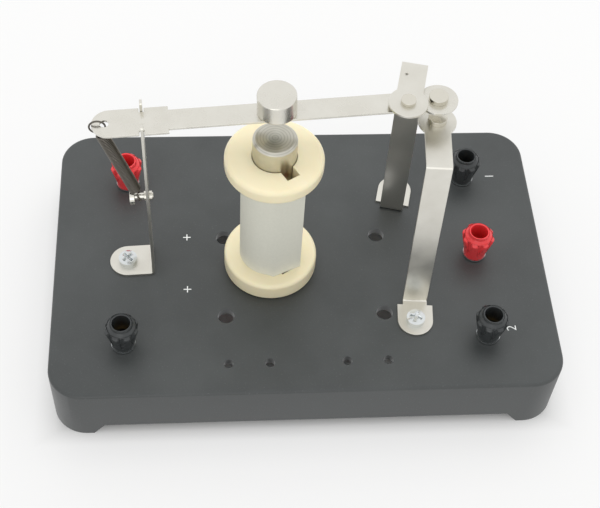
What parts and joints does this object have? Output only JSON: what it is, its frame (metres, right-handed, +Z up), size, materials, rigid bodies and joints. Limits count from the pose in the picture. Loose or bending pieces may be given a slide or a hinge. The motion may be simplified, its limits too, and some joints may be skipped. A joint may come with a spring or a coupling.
{
  "type": "electromagnetic relay",
  "caption": "Demonstration electromagnetic relay: coil with iron core, spring-returned rocking armature on a knife edge, contact brackets and screw terminals on a moulded base",
  "frame": {"origin": "middle of the base's footprint, at the level of the table", "axes": "+X along the armature from its knife edge to its contact, +Y to the rear of the base, +Z up"},
  "size_m": [0.2, 0.13, 0.1229],
  "materials": {
    "base_plastic": "fine moulded grain",
    "bobbin_nylon": "smooth moulded cream nylon",
    "enamelled_copper": "clear enamel over copper wire",
    "white_paper": "uncoated",
    "nickel_plate": "satin nickel plate on steel",
    "contact_metal": "polished contact face",
    "spring_steel": "drawn wire",
    "zinc_plate": "bright zinc plate",
    "brass": "turned",
    "collar_plastic": "moulded",
    "fibre": "vulcanised fibre",
    "lead_red": "sleeved wire",
    "lead_black": "sleeved wire",
    "cap_red": "moulded",
    "cap_black": "moulded"
  },
  "bodies": {
    "base": {"base_shell": "base_plastic", "bobbin": "bobbin_nylon", "coil_winding": "enamelled_copper", "paper_sleeve": "white_paper", "iron_core": "nickel_plate", "core_screw": "zinc_plate", "core_washer": "zinc_plate", "fulcrum_bracket": "nickel_plate", "spring_stud": "nickel_plate", "return_spring": "spring_steel", "lower_contact_bracket": "nickel_plate", "lower_contact": "contact_metal", "upper_contact_bracket": "nickel_plate", "upper_contact": "contact_metal", "bracket_screws": "zinc_plate", "bracket_washers": "zinc_plate", "bracket_nuts": "zinc_plate", "bracket_tags": "brass", "terminal_studs": "brass", "terminal_collars": "collar_plastic", "terminal_washers": "zinc_plate", "terminal_bushes": "fibre", "terminal_tags": "brass", "terminal_nuts": "zinc_plate", "lead_coil_start": "enamelled_copper", "lead_coil_end": "enamelled_copper", "lead_armature": "lead_red", "lead_upper_contact": "lead_black", "lead_lower_contact": "lead_black"},
    "armature": {"armature_strip": "nickel_plate", "armature_disc": "nickel_plate", "disc_screw": "zinc_plate", "moving_contact": "contact_metal"},
    "insert_coil_red": {"insert_coil_red": "brass"},
    "cap_coil_red": {"cap_coil_red": "cap_red"},
    "insert_coil_black": {"insert_coil_black": "brass"},
    "cap_coil_black": {"cap_coil_black": "cap_black"},
    "insert_upper_black": {"insert_upper_black": "brass"},
    "cap_upper_black": {"cap_upper_black": "cap_black"},
    "insert_common_red": {"insert_common_red": "brass"},
    "cap_common_red": {"cap_common_red": "cap_red"},
    "insert_lower_black": {"insert_lower_black": "brass"},
    "cap_lower_black": {"cap_lower_black": "cap_black"}
  },
  "joints": [
    {"name": "armature_rock", "type": "hinge", "parent": "base", "child": "armature", "pos_m": [-0.06041, -0.00208, 0.11102], "axis": [-0.0471, 0.9989, 0], "range_deg": [0, 2.5], "stiffness_Nm_per_rad": 0.137, "springref_deg": -6.88, "deforming": ["return_spring"]},
    {"name": "lift_coil_red", "type": "slide", "parent": "base", "child": "insert_coil_red", "axis": [0, 0, 1], "range_m": [0, 0.003]},
    {"name": "turn_coil_red", "type": "hinge", "parent": "insert_coil_red", "child": "cap_coil_red", "pos_m": [-0.0714, 0.0382, 0.03045], "axis": [0, 0, 1], "range_deg": [0, 1080]},
    {"name": "lift_coil_black", "type": "slide", "parent": "base", "child": "insert_coil_black", "axis": [0, 0, 1], "range_m": [0, 0.003]},
    {"name": "turn_coil_black", "type": "hinge", "parent": "insert_coil_black", "child": "cap_coil_black", "pos_m": [-0.0714, -0.0418, 0.03045], "axis": [0, 0, 1], "range_deg": [0, 1080]},
    {"name": "lift_upper_black", "type": "slide", "parent": "base", "child": "insert_upper_black", "axis": [0, 0, 1], "range_m": [0, 0.003]},
    {"name": "turn_upper_black", "type": "hinge", "parent": "insert_upper_black", "child": "cap_upper_black", "pos_m": [0.0714, 0.0382, 0.03045], "axis": [0, 0, 1], "range_deg": [0, 1080]},
    {"name": "lift_common_red", "type": "slide", "parent": "base", "child": "insert_common_red", "axis": [0, 0, 1], "range_m": [0, 0.003]},
    {"name": "turn_common_red", "type": "hinge", "parent": "insert_common_red", "child": "cap_common_red", "pos_m": [0.0714, -0.0018, 0.03045], "axis": [0, 0, 1], "range_deg": [0, 1080]},
    {"name": "lift_lower_black", "type": "slide", "parent": "base", "child": "insert_lower_black", "axis": [0, 0, 1], "range_m": [0, 0.003]},
    {"name": "turn_lower_black", "type": "hinge", "parent": "insert_lower_black", "child": "cap_lower_black", "pos_m": [0.0714, -0.0418, 0.03045], "axis": [0, 0, 1], "range_deg": [0, 1080]}
  ],
  "couplings": [
    {"joint": "turn_coil_red", "follows": "lift_coil_red", "rad_per_m": 6283.2},
    {"joint": "turn_coil_black", "follows": "lift_coil_black", "rad_per_m": 6283.2},
    {"joint": "turn_upper_black", "follows": "lift_upper_black", "rad_per_m": 6283.2},
    {"joint": "turn_common_red", "follows": "lift_common_red", "rad_per_m": 6283.2},
    {"joint": "turn_lower_black", "follows": "lift_lower_black", "rad_per_m": 6283.2}
  ]
}
